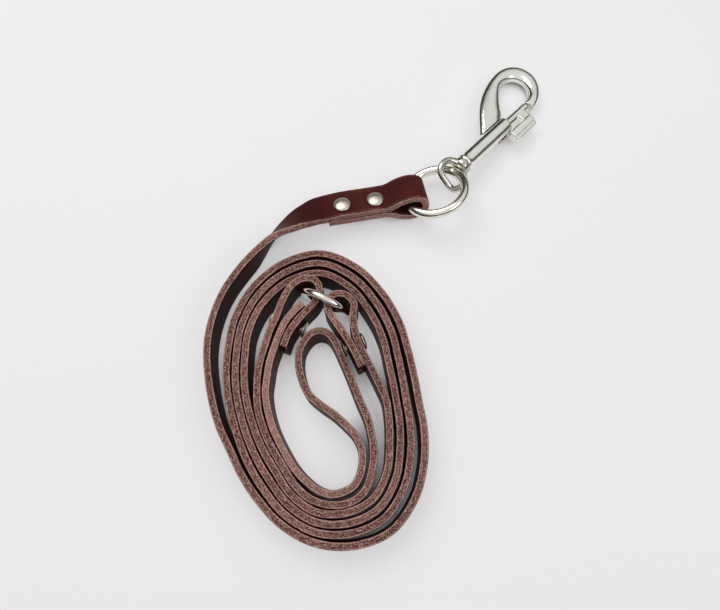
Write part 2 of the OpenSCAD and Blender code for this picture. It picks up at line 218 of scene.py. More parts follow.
def lathe(profile, n=64):
    """Turns (x, radius) pairs round the x axis. Radius 0 closes the end."""
    verts, faces = [], []
    rings = []
    for x, r in profile:
        if r <= 1e-6:
            rings.append([len(verts)])
            verts.append((x, 0, 0))
        else:
            start = len(verts)
            for k in range(n):
                a = 2 * math.pi * k / n
                verts.append((x, r * math.cos(a), r * math.sin(a)))
            rings.append(list(range(start, start + n)))
    for p, q in zip(rings[:-1], rings[1:]):
        for k in range(n):
            j = (k + 1) % n
            if len(p) == 1 and len(q) == 1:
                continue
            if len(p) == 1:
                faces.append((p[0], q[k], q[j]))
            elif len(q) == 1:
                faces.append((p[k], q[0], p[j]))
            else:
                faces.append((p[k], q[k], q[j], p[j]))
    return np.array(verts, float), faces


def ring_lathe(profile, n=64):
    """A closed profile turned round x: its last point joins its first."""
    verts, faces = [], []
    m = len(profile)
    for x, r in profile:
        for k in range(n):
            a = 2 * math.pi * k / n
            verts.append((x, r * math.cos(a), r * math.sin(a)))
    for i in range(m):
        for k in range(n):
            j = (k + 1) % n
            a, b = i * n, ((i + 1) % m) * n
            faces.append((a + k, b + k, b + j, a + j))
    return np.array(verts, float), faces


END_BULGE = 0.3  # how far an open tube's ends stand out, as a part of its radius


def sweep_tube(points, radius, n=20, closed=False, scale=None):
    """A round tube along points, with its frame carried along the path."""
    pts = np.array(points, float)
    m = len(pts)
    verts, faces = [], []
    tan = []
    for i in range(m):
        if closed:
            t = pts[(i + 1) % m] - pts[i - 1]
        else:
            t = pts[min(i + 1, m - 1)] - pts[max(i - 1, 0)]
        tan.append(unit(t))
    side = unit(np.cross(tan[0], [0.13, 0.21, 0.97]))
    for i in range(m):
        side = unit(side - tan[i] * np.dot(side, tan[i]))
        other = np.cross(tan[i], side)
        r = radius if scale is None else radius * scale[i]
        for k in range(n):
            a = 2 * math.pi * k / n
            verts.append(pts[i] + r * (side * math.cos(a) + other * math.sin(a)))
    for i in range(m if closed else m - 1):
        for k in range(n):
            a, b = i * n + k, i * n + (k + 1) % n
            c, d = ((i + 1) % m) * n + (k + 1) % n, ((i + 1) % m) * n + k
            faces.append((a, b, c, d))
    if not closed:
        verts.append(pts[0] - tan[0] * radius * END_BULGE * (1 if scale is None else scale[0]))
        verts.append(pts[-1] + tan[-1] * radius * END_BULGE * (1 if scale is None else scale[-1]))
        for k in range(n):
            faces.append((k, len(verts) - 2, (k + 1) % n))
            faces.append(((m - 1) * n + (k + 1) % n, len(verts) - 1, (m - 1) * n + k))
    return np.array(verts, float), faces


def merge(parts):
    """Several shapes as one list of points and faces."""
    verts, faces, base = [], [], 0
    for v, f in parts:
        verts.append(np.asarray(v, float))
        faces.extend([tuple(i + base for i in g) for g in f])
        base += len(v)
    return np.vstack(verts), faces


def take_result(ob, used):
    """The points and faces of ob after its modifiers. The used objects are then removed."""
    bpy.context.view_layer.update()
    deps = bpy.context.evaluated_depsgraph_get()
    done = ob.evaluated_get(deps).to_mesh()
    verts = np.array([tuple(p.co) for p in done.vertices])
    faces = [tuple(p.vertices) for p in done.polygons]
    ob.evaluated_get(deps).to_mesh_clear()
    for t in used:
        d = t.data
        bpy.data.objects.remove(t)
        bpy.data.meshes.remove(d)
    return verts, faces


def fused(parts, voxel, relax):
    """Melts overlapping closed shells, in millimetres, into one cast-looking surface."""
    verts, faces = merge(parts)
    me = bpy.data.meshes.new("fuse")
    me.from_pydata([tuple(v) for v in verts], [], faces)
    me.update()
    ob = bpy.data.objects.new("fuse", me)
    bpy.context.scene.collection.objects.link(ob)
    remesh = ob.modifiers.new("remesh", "REMESH")
    remesh.mode = "VOXEL"
    remesh.voxel_size = voxel
    remesh.adaptivity = 0
    ease = ob.modifiers.new("ease", "SMOOTH")
    ease.factor = 0.5
    ease.iterations = relax
    return take_result(ob, [ob])


def cut(verts, faces, cutters):
    """Takes closed cutter shells out of a mesh, in millimetres, with an exact boolean."""
    me = bpy.data.meshes.new("cut")
    me.from_pydata([tuple(p) for p in verts], [], faces)
    me.update()
    ob = bpy.data.objects.new("cut", me)
    bpy.context.scene.collection.objects.link(ob)
    tools = []
    for cv, cf in cutters:
        tm = bpy.data.meshes.new("tool")
        tm.from_pydata([tuple(p) for p in cv], [], cf)
        tm.update()
        bm = bmesh.new()
        bm.from_mesh(tm)
        bmesh.ops.recalc_face_normals(bm, faces=bm.faces)
        bm.to_mesh(tm)
        bm.free()
        tool = bpy.data.objects.new("tool", tm)
        bpy.context.scene.collection.objects.link(tool)
        bite = ob.modifiers.new("bite", "BOOLEAN")
        bite.operation = "DIFFERENCE"
        bite.solver = "EXACT"
        bite.object = tool
        tools.append(tool)
    return take_result(ob, tools + [ob])


def block(x0, x1, y0, y1, z0, z1):
    """A plain box."""
    v = [(x, y, z) for x in (x0, x1) for y in (y0, y1) for z in (z0, z1)]
    f = [(0, 1, 3, 2), (4, 6, 7, 5), (0, 4, 5, 1), (2, 3, 7, 6), (0, 2, 6, 4), (1, 5, 7, 3)]
    return np.array(v, float), f


def rounded_block(x0, x1, y0, y1, z0, z1, r):
    """A box with its edges rounded to radius r."""
    v, f = block(x0, x1, y0, y1, z0, z1)
    bm = bmesh.new()
    vs = [bm.verts.new(p) for p in v]
    for g in f:
        bm.faces.new([vs[i] for i in g])
    bmesh.ops.recalc_face_normals(bm, faces=bm.faces)
    bmesh.ops.bevel(bm, geom=list(bm.edges), offset=r, segments=4, profile=0.5, affect="EDGES")
    bm.verts.index_update()
    out = (np.array([tuple(p.co) for p in bm.verts]), [tuple(p.index for p in g.verts) for g in bm.faces])
    bm.free()
    return out


# ---------------------------------------------------------------- materials
def new_material(name):
    """A material with only a principled shader. Gives the material, its node tree and the shader."""
    m = bpy.data.materials.new(name)
    m.use_nodes = True
    nt = m.node_tree
    nt.nodes.clear()
    out = nt.nodes.new("ShaderNodeOutputMaterial")
    sh = nt.nodes.new("ShaderNodeBsdfPrincipled")
    nt.links.new(sh.outputs["BSDF"], out.inputs["Surface"])
    return m, nt, sh


def node(nt, kind, **sets):
    """A node with its inputs or settings set by name."""
    n = nt.nodes.new(kind)
    for k, v in sets.items():
        if k in n.inputs:
            n.inputs[k].default_value = v
        else:
            setattr(n, k, v)
    return n


def noise_tex(nt, coord, scale, detail, rough, stretch=None):
    """Cloudy noise, drawn out by stretch where that is given."""
    n = node(nt, "ShaderNodeTexNoise", Scale=scale, Detail=detail, Roughness=rough)
    if stretch is None:
        nt.links.new(coord, n.inputs["Vector"])
    else:
        mp = nt.nodes.new("ShaderNodeMapping")
        mp.inputs["Scale"].default_value = stretch
        nt.links.new(coord, mp.inputs["Vector"])
        nt.links.new(mp.outputs["Vector"], n.inputs["Vector"])
    return n.outputs["Fac"]


def ramp(nt, fac, stops):
    """Colours from a number, with straight blends between (place, colour) stops."""
    r = nt.nodes.new("ShaderNodeValToRGB")
    e = r.color_ramp.elements
    e[0].position, e[0].color = stops[0][0], (*stops[0][1], 1)
    e[1].position, e[1].color = stops[-1][0], (*stops[-1][1], 1)
    for pos, col in stops[1:-1]:
        x = e.new(pos)
        x.color = (*col, 1)
    nt.links.new(fac, r.inputs["Fac"])
    return r.outputs["Color"]


def gray(nt, fac, a, b, lo, hi):
    """Maps a...b to lo...hi, and holds the ends."""
    n = node(nt, "ShaderNodeMapRange")
    n.inputs["From Min"].default_value = a
    n.inputs["From Max"].default_value = b
    n.inputs["To Min"].default_value = lo
    n.inputs["To Max"].default_value = hi
    nt.links.new(fac, n.inputs["Value"])
    return n.outputs["Result"]


def mix(nt, fac, a, b):
    """Colour a where fac is 0 and b where it is 1. Either may be a socket or three numbers."""
    n = nt.nodes.new("ShaderNodeMix")
    n.data_type = "RGBA"
    nt.links.new(fac, n.inputs[0])
    for sock, val in ((n.inputs[6], a), (n.inputs[7], b)):
        if hasattr(val, "links"):
            nt.links.new(val, sock)
        else:
            sock.default_value = (*val, 1)
    return n.outputs[2]


def mix_value(nt, fac, a, b):
    """The same for single numbers in place of colours."""
    n = nt.nodes.new("ShaderNodeMix")
    n.data_type = "FLOAT"
    nt.links.new(fac, n.inputs[0])
    for sock, val in ((n.inputs[2], a), (n.inputs[3], b)):
        if hasattr(val, "links"):
            nt.links.new(val, sock)
        else:
            sock.default_value = val
    return n.outputs[0]


def maths(nt, op, a, b, clamp=False):
    """a op b, where either may be a socket or a number."""
    n = nt.nodes.new("ShaderNodeMath")
    n.operation = op
    n.use_clamp = clamp
    for i, val in enumerate((a, b)):
        if hasattr(val, "links"):
            nt.links.new(val, n.inputs[i])
        else:
            n.inputs[i].default_value = val
    return n.outputs[0]


def bump(nt, height, strength, distance, normal=None):
    """Fine relief, on top of another bump's normal where that is given."""
    n = node(nt, "ShaderNodeBump", Strength=strength, Distance=distance)
    nt.links.new(height, n.inputs["Height"])
    if normal is not None:
        nt.links.new(normal, n.inputs["Normal"])
    return n.outputs["Normal"]


def leather_material():
    """Dressed faces and raw cut edges in one, told apart by the strap's own attributes."""
    m, nt, sh = new_material("bridle_leather")
    co = nt.nodes.new("ShaderNodeTexCoord").outputs["Object"]
    raw, rim, along, across = (
        node(nt, "ShaderNodeAttribute", attribute_name=key).outputs["Fac"]
        for key in ("raw", "rim", "along", "across")
    )
    strand = nt.nodes.new("ShaderNodeCombineXYZ")
    nt.links.new(along, strand.inputs[0])
    nt.links.new(across, strand.inputs[1])
    flow = strand.outputs[0]

    # Dressed faces: dark burgundy with a close grain, pull-up mottling and handling marks
    cloud = noise_tex(nt, co, 55, 4, 0.6)
    fine = noise_tex(nt, co, 900, 3, 0.6)
    face = ramp(nt, cloud, [
        (0.25, (0.042, 0.0090, 0.0080)), (0.5, (0.066, 0.0140, 0.0120)), (0.78, (0.105, 0.0220, 0.0185)),
    ])
    face = mix(nt, gray(nt, fine, 0.35, 0.7, 0.0, 0.35), face, (0.026, 0.006, 0.0055))
    rubs = gray(nt, noise_tex(nt, co, 320, 3, 0.6), 0.35, 0.7, 0.0, 1.0)
    worn = maths(nt, "MULTIPLY", gray(nt, rim, 0.80, 1.0, 0.0, 1.0), rubs, True)
    face = mix(nt, maths(nt, "MULTIPLY", worn, 0.45), face, (0.30, 0.13, 0.105))

    # The long runs are darker: painted shade on the coil's upright faces, which get little light. The first
    # 85 mm from each strap's start are paler, more so on the cut
    far = gray(nt, along, 0.085, 0.150, 0.0, 1.0)
    face = mix(nt, maths(nt, "MULTIPLY", far, 0.62), face, (0.016, 0.0035, 0.0030))

    # Cut edges: pinkish tan fibres with dark pores and loose pale hairs
    fibre = noise_tex(nt, flow, 1.0, 5, 0.65, (420, 1300, 1))
    pore = noise_tex(nt, co, 1500, 4, 0.7)
    patch = noise_tex(nt, co, 120, 3, 0.55)
    edge = ramp(nt, fibre, [
        (0.33, (0.034, 0.012, 0.010)), (0.46, (0.115, 0.046, 0.037)),
        (0.57, (0.280, 0.138, 0.112)), (0.70, (0.68, 0.44, 0.385)),
    ])
    edge = mix(nt, gray(nt, patch, 0.35, 0.7, 0.0, 0.40), edge, (0.085, 0.034, 0.028))
    tone = noise_tex(nt, flow, 1.0, 2, 0.5, (16, 40, 1))
    edge = mix(nt, gray(nt, tone, 0.46, 0.68, 0.0, 0.50), edge, (0.060, 0.025, 0.020))
    edge = mix(nt, gray(nt, tone, 0.50, 0.30, 0.0, 0.30), edge, (0.46, 0.245, 0.20))
    edge = mix(nt, gray(nt, far, 0.0, 1.0, 0.38, 0.0), edge, (0.60, 0.35, 0.30))
    edge = mix(nt, gray(nt, pore, 0.49, 0.60, 0.0, 0.80), edge, (0.045, 0.016, 0.013))
    hair = noise_tex(nt, co, 1900, 3, 0.6)
    edge = mix(nt, gray(nt, hair, 0.55, 0.64, 0.0, 0.80), edge, (0.66, 0.45, 0.395))
    # A painted highlight along both borders of the cut, broken into streaks that run along the strap
    highlight_breakup = gray(nt, noise_tex(nt, flow, 1.0, 5, 0.7, (90, 1400, 1)), 0.40, 0.62, 0.15, 0.90)
    lip_highlight = maths(nt, "MULTIPLY", gray(nt, rim, 0.60, 0.74, 0.0, 1.0), highlight_breakup, True)
    edge = mix(nt, lip_highlight, edge, (0.66, 0.42, 0.365))
    # The dye soaks in at both corners and leaves a dark line along each side of the cut
    soak = maths(nt, "ADD", rim, gray(nt, noise_tex(nt, co, 420, 4, 0.65), 0.3, 0.7, -0.16, 0.16))
    edge = mix(nt, gray(nt, soak, 0.86, 1.0, 0.0, 0.92), edge, (0.040, 0.011, 0.009))

    # Where the cut begins, with a ragged line
    ragged = gray(nt, noise_tex(nt, co, 600, 3, 0.6), 0.3, 0.7, -0.2, 0.2)
    mask = gray(nt, maths(nt, "ADD", raw, ragged), 0.40, 0.60, 0.0, 1.0)
    nt.links.new(mix(nt, mask, face, edge), sh.inputs["Base Color"])
    gloss = gray(nt, noise_tex(nt, co, 260, 4, 0.6), 0.3, 0.7, 0.40, 0.54)
    nt.links.new(mix_value(nt, mask, gloss, 0.92), sh.inputs["Roughness"])
    sh.inputs["Specular IOR Level"].default_value = 0.03

    grain = node(nt, "ShaderNodeTexVoronoi", Scale=1300.0, Randomness=1.0)
    nt.links.new(co, grain.inputs["Vector"])
    grain_h = maths(nt, "MULTIPLY", grain.outputs["Distance"], 0.5)
    face_h = maths(nt, "ADD", grain_h, maths(nt, "MULTIPLY", cloud, 0.8))
    edge_h = maths(nt, "ADD", fibre, maths(nt, "MULTIPLY", pore, -1.3))
    height = mix_value(nt, mask, maths(nt, "MULTIPLY", face_h, 0.35), maths(nt, "MULTIPLY", edge_h, 1.6))
    nt.links.new(bump(nt, height, 0.75, 0.00022), sh.inputs["Normal"])
    return m


DRAWN = (2600, 500, 900)  # scratches along a drawn or turned piece
CAST = (900, 900, 900)  # and with no direction on a cast one


def metal_material(name, base, rough_lo, rough_hi, scale, tarnish, brushed=DRAWN):
    """Plated metal: a cloudy film of tarnish, small spots, ripples and fine scratches."""
    m, nt, sh = new_material(name)
    co = nt.nodes.new("ShaderNodeTexCoord").outputs["Object"]
    film = noise_tex(nt, co, scale, 4, 0.6)
    spot = noise_tex(nt, co, scale * 9, 3, 0.6)
    col = mix(nt, gray(nt, film, 0.4, 0.75, 0.0, 0.5), base, tarnish)
    col = mix(nt, gray(nt, spot, 0.66, 0.74, 0.0, 0.35), col, tuple(c * 0.55 for c in tarnish))
    nt.links.new(col, sh.inputs["Base Color"])
    sh.inputs["Metallic"].default_value = 1.0
    dull = maths(nt, "ADD", maths(nt, "MULTIPLY", film, 0.6), maths(nt, "MULTIPLY", spot, 0.4))
    nt.links.new(gray(nt, dull, 0.35, 0.65, rough_lo, rough_hi), sh.inputs["Roughness"])
    ripple = noise_tex(nt, co, scale * 2.2, 2, 0.5)
    scratch = noise_tex(nt, co, 1.0, 3, 0.6, brushed)
    rippled = bump(nt, ripple, 0.22, 0.00030)
    nt.links.new(bump(nt, scratch, 0.10, 0.00003, rippled), sh.inputs["Normal"])
    return m


leather = leather_material()
nickel = metal_material(
    "bright_nickel", (0.83, 0.815, 0.74), 0.06, 0.13, 130, (0.60, 0.585, 0.48))
nickel_cast = metal_material(
    "cast_nickel", (0.87, 0.865, 0.815), 0.07, 0.15, 170, (0.68, 0.67, 0.57), CAST)
# The swivel eye's nickel is painted darker than the rest: painted dark reflections, not a different metal
eye_nickel_painted_dark = metal_material(
    "eye_nickel_painted_dark", (0.56, 0.55, 0.50), 0.09, 0.18, 170, (0.30, 0.285, 0.23), CAST)
rivet_nickel = metal_material(
    "rivet_nickel", (0.56, 0.52, 0.43), 0.24, 0.38, 260, (0.38, 0.345, 0.265), (900, 1400, 900))
wire_steel = metal_material(
    "spring_wire", (0.46, 0.46, 0.45), 0.25, 0.4, 300, (0.33, 0.31, 0.28))


# ---------------------------------------------------------------- straps
CORNER = 0.62  # radius of a strap's corners
CROWN = 0.28  # how far the middle of a cut edge stands out
CORNER_STEPS, EDGE_STEPS, FACE_STEPS = 4, 6, 10

# Unevenness: height, as mm or a part of the thickness, and how fast it changes along the strap
WAVER = (0.10, 0.09)
NICKS = (0.045, 0.9)
THICK = (0.022, 0.05)
GRIT = (0.05, 1.7)
WAVER_TOP = 0.05  # the most that waver and nicks may stand out together
ON_FLOOR_Z = 8.4  # a strand whose middle is lower than this stands on the floor


def strap_section():
    """Points round the section: width, thickness, how raw, how near a border, and the width's side."""
    hw, ht = STRAP_W / 2, STRAP_T / 2
    section = []
    for quarter, (sw, st) in enumerate(((1, 1), (1, -1), (-1, -1), (-1, 1))):
        to_edge = quarter % 2 == 0
        # a corner from face to edge, and in the next quarter from edge to face
        for k in range(CORNER_STEPS + 1):
            a = (k / CORNER_STEPS) * math.pi / 2
            out, up = (math.sin(a), math.cos(a)) if to_edge else (math.cos(a), math.sin(a))
            t = ht - CORNER + CORNER * up
            tilt = a if to_edge else math.pi / 2 - a
            section.append((sw * (hw - CORNER + CORNER * out), st * t, tilt / (math.pi / 2), t / ht, sw))
        if to_edge:
            for k in range(1, EDGE_STEPS):
                t = (ht - CORNER) * (1 - 2 * (k / EDGE_STEPS))
                crown = CROWN * (1 - (t / (ht - CORNER)) ** 2)
                section.append((sw * (hw + crown), st * t, 1.0, abs(t) / ht, sw))
        else:
            for k in range(1, FACE_STEPS):
                w = (hw - CORNER) * (1 - 2 * (k / FACE_STEPS))
                section.append((sw * w, st * ht, 0.0, abs(w) / hw, sw))
    return section


def strap(name, route, body, seed):
    """A leather strap with rounded corners, slightly crowned cut edges and a hand-cut waver."""
    section = strap_section()
    n, m = len(route), len(section)
    hw = STRAP_W / 2
    pts, wid = route[:, :3], route[:, 3:]
    verts = np.zeros((n * m, 3))
    raw, rim, along, across = (np.zeros(n * m) for _ in range(4))
    run = 0.0
    for i in range(n):
        t = unit(pts[min(i + 1, n - 1)] - pts[max(i - 1, 0)])
        w = unit(wid[i] - t * np.dot(wid[i], t))
        k = unit(np.cross(t, w))
        if i:
            run += float(np.linalg.norm(pts[i] - pts[i - 1]))
        thick = 1 + THICK[0] * noise.noise(Vector((run * THICK[1], 9.0, seed)))
        for j, (pw, pt, r, q, sw) in enumerate(section):
            waver = WAVER[0] * noise.noise(Vector((run * WAVER[1], sw * 3.1, seed)))
            waver += NICKS[0] * noise.noise(Vector((run * NICKS[1], sw * 5.7 + pt, seed)))
            grit = 0.0
            if r > 0.5:
                grit = GRIT[0] * noise.noise(Vector((run * GRIT[1], pt * 2.6, seed + sw)))
            # the lower edge of a strand on the floor stays flat
            low = sw < 0 and abs(w[2]) > 0.9 and pts[i][2] < ON_FLOOR_Z
            dw = 0.0 if low else min(waver, WAVER_TOP) + grit
            if low:
                pw = max(pw, -hw)
            wide = pw + sw * dw * (1 if r > 0.2 else abs(pw) / hw)
            verts[i * m + j] = pts[i] + w * wide + k * pt * thick
            raw[i * m + j] = r
            rim[i * m + j] = q
            along[i * m + j] = run * MM
            across[i * m + j] = (pt if r > 0.5 else pw) * MM
    faces = []
    for i in range(n - 1):
        for j in range(m):
            a, b = i * m + j, i * m + (j + 1) % m
            faces.append((a, b, b + m, a + m))
    faces.append(tuple(range(m))[::-1])
    faces.append(tuple((n - 1) * m + j for j in range(m)))
    attrs = {"raw": raw, "rim": rim, "along": along, "across": across}
    ob = add_object(name, to_row(verts), faces, body, leather, attrs)
    bm = bmesh.new()
    bm.from_mesh(ob.data)
    bmesh.ops.recalc_face_normals(bm, faces=bm.faces)
    bm.to_mesh(ob.data)
    bm.free()
    return ob


long_strap = strap("leash_strap", main_route(9), "strap", 1.3)
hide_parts("main_strap")
loop_strap = strap("hand_loop_strap", handle_route(8), "strap", 7.9)
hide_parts("handle_strap")


# ---------------------------------------------------------------- rivets
HEAD_R = 4.42
HEAD_FOOT = 0.34  # height of a domed head's rolled foot
DOME_H, DOME_STEPS = 1.3, 16
HEAD_SIDES = 72
SHANK_R = 1.6


def dome_head(grip):
    """A pressed dome with a rolled foot, as (x, radius) pairs from the middle of the leather outwards."""
    g = grip / 2
    head = [(g, 0), (g, 4.05), (g + 0.04, 4.28), (g + 0.16, HEAD_R), (g + HEAD_FOOT, HEAD_R)]
    for k in range(1, DOME_STEPS + 1):
        a = k / DOME_STEPS * math.pi / 2
        head.append((g + HEAD_FOOT + DOME_H * math.sin(a) ** 1.15, HEAD_R * math.cos(a) ** 0.85))
    head[-1] = (head[-1][0], 0)
    return head


def low_head(grip):
    """A flat head for the narrow gaps inside the coil."""
    g = grip / 2
    return [
        (g, 0), (g, 3.95), (g + 0.06, 4.12), (g + 0.3, 4.2), (g + 0.55, 4.1), (g + 0.72, 3.8),
        (g + 0.78, 3.3), (g + 0.8, 0),
    ]


def rivet(caps_name, posts_name, places, nodes, low=False):
    """Caps and posts. Each place is a rivet's middle, its three axes and the thickness it grips."""
    cap_parts, post_parts = [], []
    for o, x, y, z, grip in places:
        v, f = lathe(dome_head(grip), HEAD_SIDES)
        cap_parts.append((put(v, o, x, y, z), f))
        if low:
            v, f = lathe(low_head(grip), HEAD_SIDES)
        mirrored = v * np.array([-1, 1, 1])
        post_parts.append((put(mirrored, o, x, y, z), [g[::-1] for g in f]))
        start, end = -grip / 2 - 0.05, grip / 2 + 0.3
        v, f = lathe([(start, 0), (start, SHANK_R), (end, SHANK_R), (end, 0)], 32)
        post_parts.append((put(v, o, x, y, z), f))
    for name, parts, cad in ((caps_name, cap_parts, nodes[0]), (posts_name, post_parts, nodes[1])):
        v, f = merge(parts)
        ob = add_object(name, to_row(v), f, "strap", rivet_nickel)
        sharpen(ob)
        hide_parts(cad)


def side_rivet(o, heading, grip):
    """The place of a level rivet whose post's head faces heading."""
    h = rad(heading)
    x = np.array([-math.cos(h), -math.sin(h), 0])
    return (np.array(o), x, UP, np.array([-math.sin(h), math.cos(h), 0]), grip)


SNAP_RIVET_RUNS = (-36, -18.8)  # along END_U from the fold's middle
snap_places = []
for run in SNAP_RIVET_RUNS:
    middle = FOLD_AXIS + END_U * run + END_W * 1.5
    snap_places.append((middle, END_N, END_U, -END_W, 2 * STRAP_T + 0.6))
rivet("snap_end_caps", "snap_end_posts", snap_places, ("snap_end_rivet_caps", "snap_end_rivet_posts"))
rivet("ring_end_cap", "ring_end_post", [side_rivet((-18.8, -36.92, 13.2), 202, 9.1)],
      ("strap_rivet_cap", "strap_rivet_post"), True)
rivet("hand_loop_cap", "hand_loop_post", [side_rivet((-49.97, -26.53, 13.2), -20, 15.6)],
      ("handle_rivet_cap", "handle_rivet_post"), True)


# ---------------------------------------------------------------- rings
# Heights are parts of the wire's radius, and widths are millimetres along the wire
WELD_RISE, WELD_W = 0.018, 0.55
GROOVE_DEPTH, GROOVE_W = 0.030, 0.16
RING_STEPS = 220


def ring(name, o, x, y, r, wire, body, cad, weld_at):
    """A bent and butt-welded wire ring with a low dressed weld, and a fine groove in its middle."""
    pts, scale = [], []
    for k in range(RING_STEPS):
        a = 2 * math.pi * k / RING_STEPS
        off = (a - weld_at + math.pi) % (2 * math.pi) - math.pi
        seam = math.exp(-((off * r / WELD_W) ** 2))
        groove = math.exp(-((off * r / GROOVE_W) ** 2))
        pts.append(o + r * (x * math.cos(a) + y * math.sin(a)))
        scale.append(1 + WELD_RISE * seam - GROOVE_DEPTH * groove)
    v, f = sweep_tube(pts, wire / 2, 40, closed=True, scale=scale)
    ob = add_object(name, to_row(v), f, body, nickel)
    sharpen(ob, 60)
    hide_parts(cad)


SMALL_MID = np.array([-32.9, -15.3, 13.5])
SMALL_HEADING = rad(-26.6)
SMALL_TIP = rad(8)  # how far the small ring leans from upright
SMALL_X = np.array([math.cos(SMALL_HEADING), math.sin(SMALL_HEADING), 0])
SMALL_N = np.array([-math.sin(SMALL_HEADING), math.cos(SMALL_HEADING), 0])
SMALL_Y = UP * math.cos(SMALL_TIP) - SMALL_N * math.sin(SMALL_TIP)
ring("small_round_ring", SMALL_MID, SMALL_X, SMALL_Y, 11.7, 3.6, "ring_small", "small_ring", rad(300))

BIG_PITCH, BIG_LEAN = rad(-11), 17  # the ring points a little up from END_U, and leans over (degrees)
BIG_R = 15.4
HALF_W = STRAP_W / 2
RING_X = END_U * math.cos(BIG_PITCH) - lean_n(BIG_LEAN) * math.sin(BIG_PITCH)
RING_Y = -lean_w(BIG_LEAN)
# The wire curves inside the fold, and the fold's axis runs through the middle of that arc's depth
BIG_OUT = BIG_R - (BIG_R - math.sqrt(BIG_R ** 2 - HALF_W ** 2)) / 2
BIG_MID = FOLD_AXIS - END_U - 1.2 * END_V + RING_X * BIG_OUT
ring("big_round_ring", BIG_MID, RING_X, RING_Y, BIG_R, 4.8, "ring_big", "big_ring", rad(160))


# ---------------------------------------------------------------- bolt snap, in its own frame
GRIP_AT = rad(35.5)  # where on the big ring the swivel eye holds it
SNAP_HEADING, SNAP_PITCH = rad(46.8), rad(5.8)
EYE_OUT = 7.1  # from the ring's wire to the snap's origin, at the barrel's rear end
GRIP = BIG_MID + BIG_R * (RING_X * math.cos(GRIP_AT) + RING_Y * math.sin(GRIP_AT))
SX = np.array([
    math.cos(SNAP_HEADING) * math.cos(SNAP_PITCH), math.sin(SNAP_HEADING) * math.cos(SNAP_PITCH),
    -math.sin(SNAP_PITCH),
])
SY = np.array([-math.sin(SNAP_HEADING), math.cos(SNAP_HEADING), 0])
SZ = np.cross(SX, SY)
SO = GRIP + SX * EYE_OUT


def snap_row(v):
    """Millimetres in the snap's own frame to metres in the record's."""
    return to_row(put(v, SO, SX, SY, SZ))


# Swivel eye: a stirrup of round wire on a flanged stem, thicker where it meets the flange
EYE_ROLL = rad(29)
EYE_WIRE_R = 1.6
EYE_THICK, EYE_FLARE = 1.08, 0.34
FLARE_FROM, FLARE_RUN = -5.2, 2.4
path = [
    (-2.2, 1.6), (-3.6, 4.4), (-5.6, 6.6), (-8.2, 7.55), (-10.9, 7.45), (-13.3, 6.2), (-14.4, 3.6),
    (-14.5, 0),
]
path = path + [(a, -b) for a, b in path[-2::-1]]
curve = smooth([(a, b * math.cos(EYE_ROLL), b * math.sin(EYE_ROLL)) for a, b in path], 8)
thick = [
    EYE_THICK if c[0] < FLARE_FROM else EYE_THICK + EYE_FLARE * min(1, (c[0] - FLARE_FROM) / FLARE_RUN)
    for c in curve
]
flange = lathe([
    (-4.3, 0), (-4.3, 1.6), (-4.0, 3.1), (-3.4, 4.15), (-2.7, 4.6), (-1.9, 4.75), (-0.6, 4.85),
    (-0.2, 4.7), (-0.2, 0),
], 64)
eye_top = fused([sweep_tube(curve, EYE_WIRE_R, 24, scale=thick), flange], 0.2, 5)
eye_stem = lathe([(-0.6, 0), (-0.6, 2.2), (6.7, 2.2), (6.85, 2.0), (6.85, 0)], 32)
v, f = merge([eye_top, eye_stem])
eye = add_object("swivel_eye_loop", snap_row(v), f, "eye", eye_nickel_painted_dark)
sharpen(eye, 55)
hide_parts("swivel_eye")

# The retainer pressed on the stem's end, inside the barrel, and the collar that the stem turns in
v, f = ring_lathe([(5.15, 2.2), (5.15, 3.25), (5.3, 3.4), (6.6, 3.4), (6.75, 3.25), (6.75, 2.2)])
retainer = add_object("stem_retainer", snap_row(v), f, "eye", nickel)
sharpen(retainer)
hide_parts("swivel_retainer")
v, f = ring_lathe([(0, 2.5), (0.15, 2.28), (4.9, 2.28), (5.0, 2.4), (5.0, 3.9), (0.25, 3.9), (0, 3.7)])
collar = add_object("stem_collar", snap_row(v), f, "snap", nickel)
sharpen(collar)
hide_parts("swivel_collar")

# Body: barrel and hook cast in one. Each pair is a point of the hook's outer outline and one of its
# inner outline, with the section's thickness there
HOOK = [
    ((16, 3.0), (26, -1.4), 3.8), ((20.4, 5.4), (31, 0.4), 5.0), ((25.2, 9.4), (35.2, 2.4), 5.6),
    ((30.4, 14.0), (38.4, 4.2), 5.8), ((36.4, 18.4), (41.6, 6.6), 6.0), ((43.2, 22.1), (45.2, 10.2), 6.0),
    ((50.2, 24.6), (49.8, 14.4), 6.0), ((57, 26.0), (54.6, 17.7), 6.0), ((64, 26.1), (59.2, 18.8), 6.0),
    ((70.2, 24.0), (63.4, 17.9), 6.0), ((74.6, 19.6), (66.2, 15.5), 6.0), ((76.1, 14.0), (67.3, 12.1), 6.0),
    ((75.6, 9.0), (66.9, 9.1), 6.0), ((73.0, 4.2), (65.2, 6.2), 6.0), ((69.0, 0.2), (62.8, 4.0), 6.0),
    ((64.6, -2.5), (60.2, 2.9), 6.0), ((60.4, -3.8), (57.8, 2.4), 5.8), ((57.2, -4.2), (56.1, 2.1), 5.4),
]
HOOK_SIDES = 28
HOOK_SQUARE = 2 / 2.35  # below 1 the section is fuller than an ellipse


